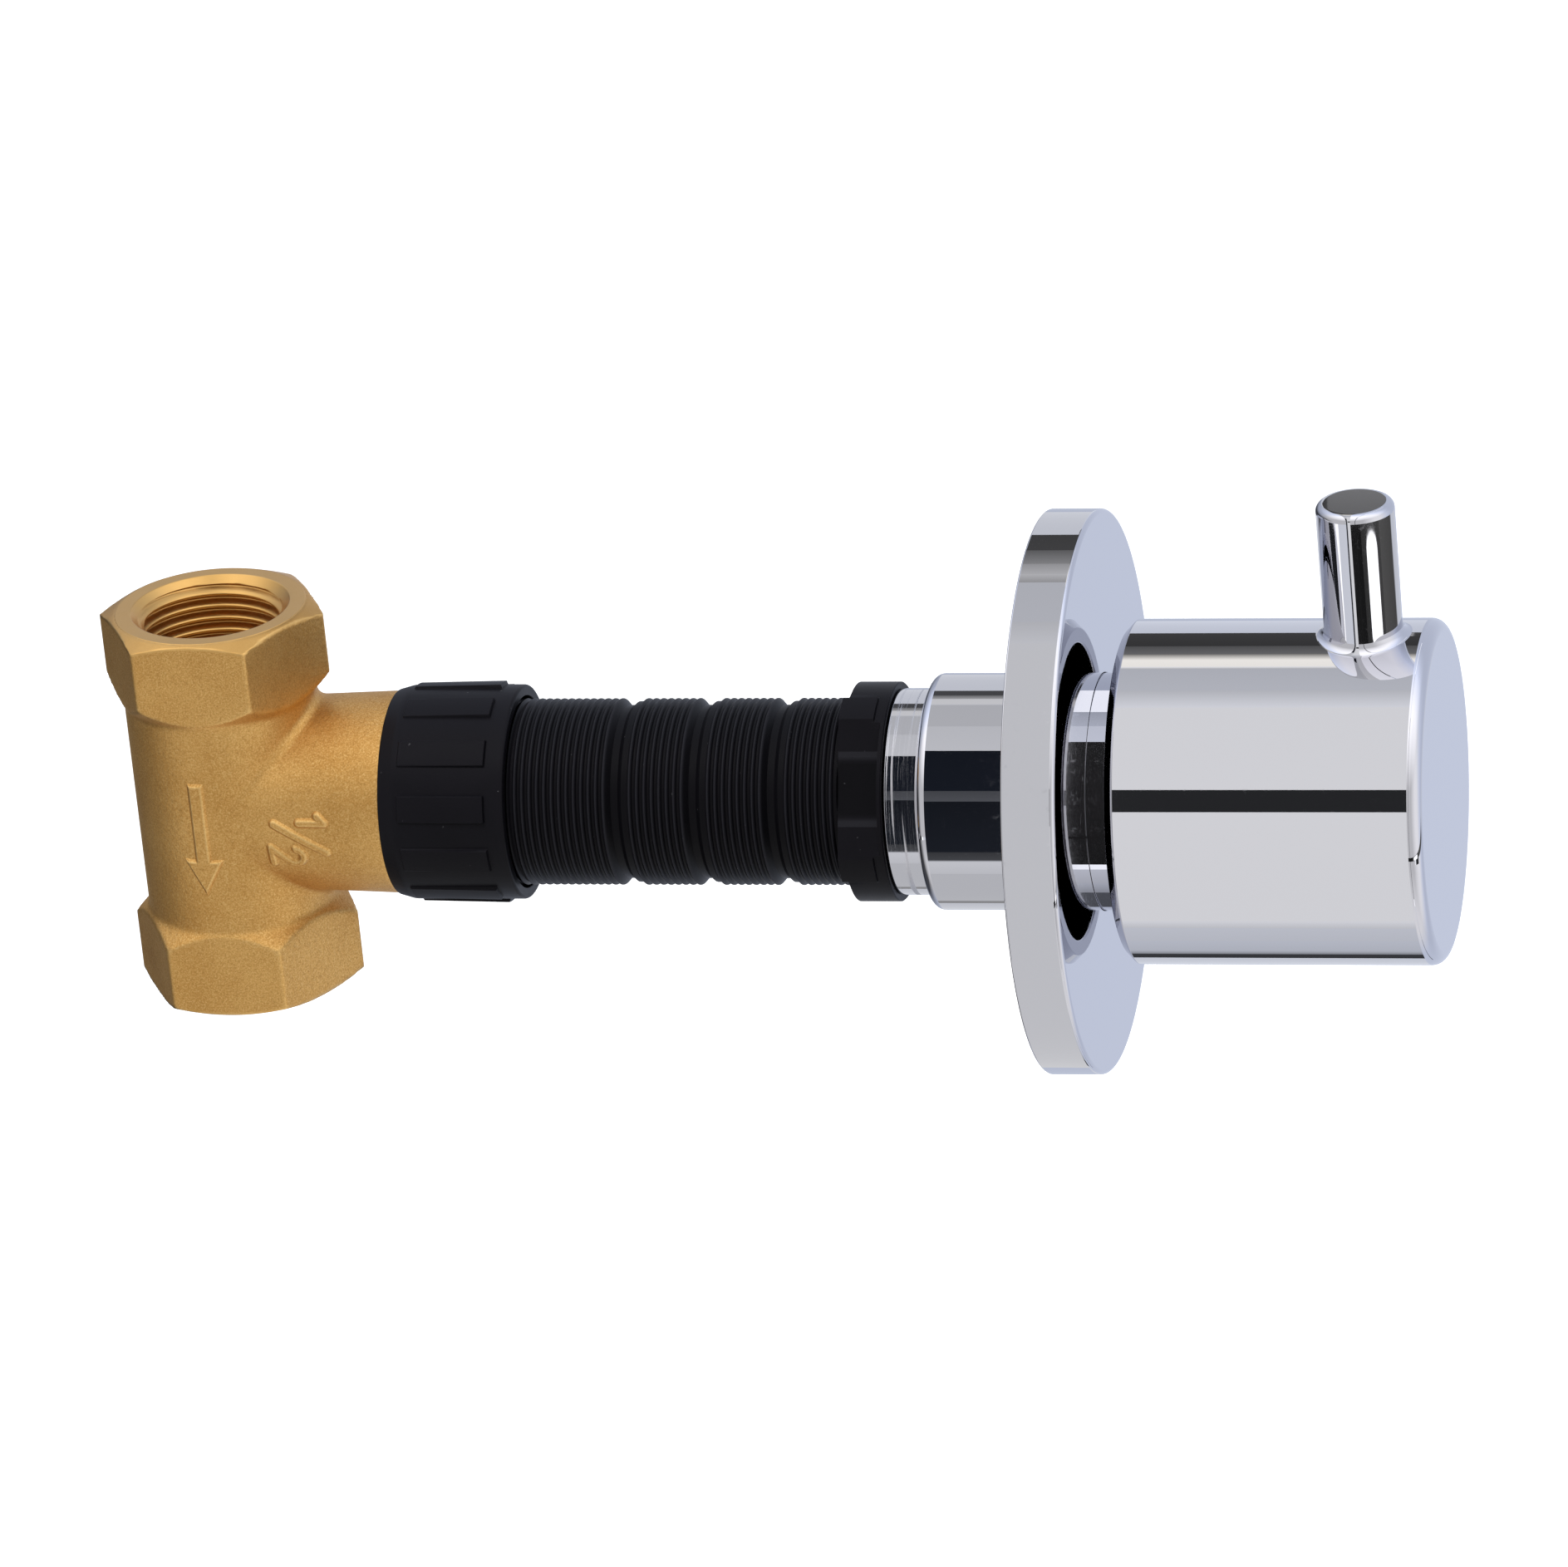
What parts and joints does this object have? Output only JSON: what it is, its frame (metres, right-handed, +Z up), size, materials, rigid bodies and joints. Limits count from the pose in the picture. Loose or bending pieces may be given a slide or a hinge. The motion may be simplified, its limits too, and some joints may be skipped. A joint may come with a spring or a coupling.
{
  "type": "concealed stop valve",
  "caption": "In-wall stop valve: brass body with two threaded ports, ribbed guard tube, sliding chrome wall flange and a quarter-turn pin-lever handle.",
  "frame": {"origin": "middle of the lower (outlet) port's mouth, on the pipe axis", "axes": "+Z up the pipe run to the inlet port, +X along the spindle out of the wall to the handle"},
  "size_m": [0.1865, 0.0774, 0.0815],
  "materials": {
    "cast_brass": "sand-blasted casting",
    "turned_brass": "turned",
    "rubber": "matt",
    "ceramic": "lapped",
    "white_plastic": "moulded",
    "spring_steel": "bright",
    "black_plastic": "moulded, satin",
    "chrome": "polished"
  },
  "bodies": {
    "valve": {"valve_body": "cast_brass", "headwork_body": "turned_brass", "headwork_ring": "rubber", "seat_seal": "rubber", "fixed_disc": "ceramic", "thrust_washer": "white_plastic", "collar_nut": "black_plastic", "guard_tube": "black_plastic", "narrow_sleeve": "chrome", "sleeve_ring": "rubber", "wide_sleeve": "chrome", "guide_bush": "white_plastic"},
    "handle": {"lever_handle": "chrome", "spline_bush": "white_plastic", "grub_screw": "spring_steel", "spindle_extension": "turned_brass", "headwork_spindle": "turned_brass", "moving_disc": "ceramic", "spindle_ring_inner": "rubber", "spindle_ring_outer": "rubber", "spindle_clip": "spring_steel"},
    "flange": {"flange": "chrome", "flange_ring": "rubber"}
  },
  "joints": [
    {"name": "handle_turn", "type": "hinge", "parent": "valve", "child": "handle", "pos_m": [0, 0, 0.0282], "axis": [1, 0, 0], "range_deg": [0, 90]},
    {"name": "flange_slide", "type": "slide", "parent": "valve", "child": "flange", "axis": [1, 0, 0], "range_m": [-0.014, 0.003]}
  ]
}
